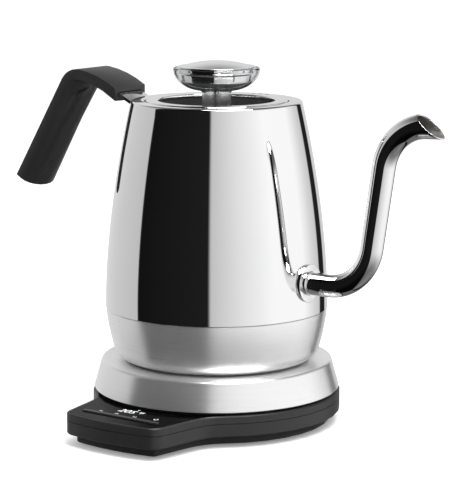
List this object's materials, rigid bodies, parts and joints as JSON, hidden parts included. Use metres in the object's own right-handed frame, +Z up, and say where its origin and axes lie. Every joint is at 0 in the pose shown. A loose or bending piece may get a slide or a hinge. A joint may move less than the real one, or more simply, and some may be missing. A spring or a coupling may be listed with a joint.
{
  "type": "gooseneck kettle",
  "caption": "Electric gooseneck kettle: tapered polished vessel with slanted-mouth spout, cantilever handle and recessed knob lid, standing on a round heated base with a touch panel.",
  "frame": {"origin": "centre of the base tray's flat underside, on the kettle's vertical axis; the feet reach 1.5 mm below it", "axes": "+Z up, +X towards the spout, -X towards the handle, -Y towards the control panel"},
  "size_m": [0.2875, 0.1763, 0.2078],
  "materials": {
    "polished_steel": "mirror polished stainless steel",
    "brushed_steel": "circumferentially brushed stainless steel",
    "element_steel": "dull heat-marked steel",
    "housing_plastic": "satin black moulded plastic",
    "panel_gloss": "high-gloss black",
    "slider_grey": "satin grey",
    "handle_plastic": "matt charcoal, fine moulded grain",
    "clear_plastic": "clear polished plastic",
    "well_plastic": "satin dark grey",
    "seal_silicone": "matt translucent grey silicone",
    "contact_brass": "satin",
    "circuit_board": "green solder mask",
    "rubber": "matt black",
    "screw_zinc": "zinc plated"
  },
  "bodies": {
    "base": {"base_tray": "housing_plastic", "base_cover": "housing_plastic", "base_ring": "brushed_steel", "base_connector": "housing_plastic", "base_contact_ring": "contact_brass", "panel_glass": "panel_gloss", "slider_strip": "slider_grey", "display_module": "panel_gloss", "control_board": "circuit_board", "power_board": "circuit_board", "power_relay": "housing_plastic", "power_capacitor": "housing_plastic", "cable_inlet": "rubber", "foot_1": "rubber", "foot_2": "rubber", "foot_3": "rubber", "foot_4": "rubber", "foot_5": "rubber", "housing_screw_1": "screw_zinc", "housing_screw_2": "screw_zinc", "housing_screw_3": "screw_zinc", "housing_screw_4": "screw_zinc"},
    "socket": {"kettle_socket": "housing_plastic", "socket_pin": "contact_brass"},
    "kettle": {"vessel_shell": "polished_steel", "lower_band": "brushed_steel", "heating_plate": "element_steel", "heating_element": "element_steel", "control_module": "housing_plastic", "temperature_probe": "polished_steel", "probe_gasket": "seal_silicone", "underside_cover": "housing_plastic", "socket_keeper": "screw_zinc", "cover_post_1": "screw_zinc", "cover_post_2": "screw_zinc", "cover_post_3": "screw_zinc", "cover_screw_1": "screw_zinc", "cover_screw_2": "screw_zinc", "cover_screw_3": "screw_zinc", "spout_tube": "polished_steel", "spout_collar": "polished_steel", "handle_strap": "polished_steel", "handle_grip": "handle_plastic", "handle_screw_1": "screw_zinc", "handle_screw_2": "screw_zinc"},
    "lid": {"lid_ring": "polished_steel", "lid_body": "well_plastic", "lid_seal": "seal_silicone", "knob_bowl": "clear_plastic", "knob_insert": "polished_steel", "knob_cap": "polished_steel", "knob_screw": "screw_zinc"}
  },
  "joints": [
    {"name": "kettle_lift", "type": "slide", "parent": "base", "child": "socket", "axis": [0, 0, 1], "range_m": [0, 0.1]},
    {"name": "kettle_swivel", "type": "hinge", "parent": "socket", "child": "kettle", "pos_m": [0, 0, 0.04], "axis": [0, 0, 1], "continuous": true},
    {"name": "lid_lift", "type": "slide", "parent": "kettle", "child": "lid", "axis": [0, 0, 1], "range_m": [0, 0.06]}
  ]
}
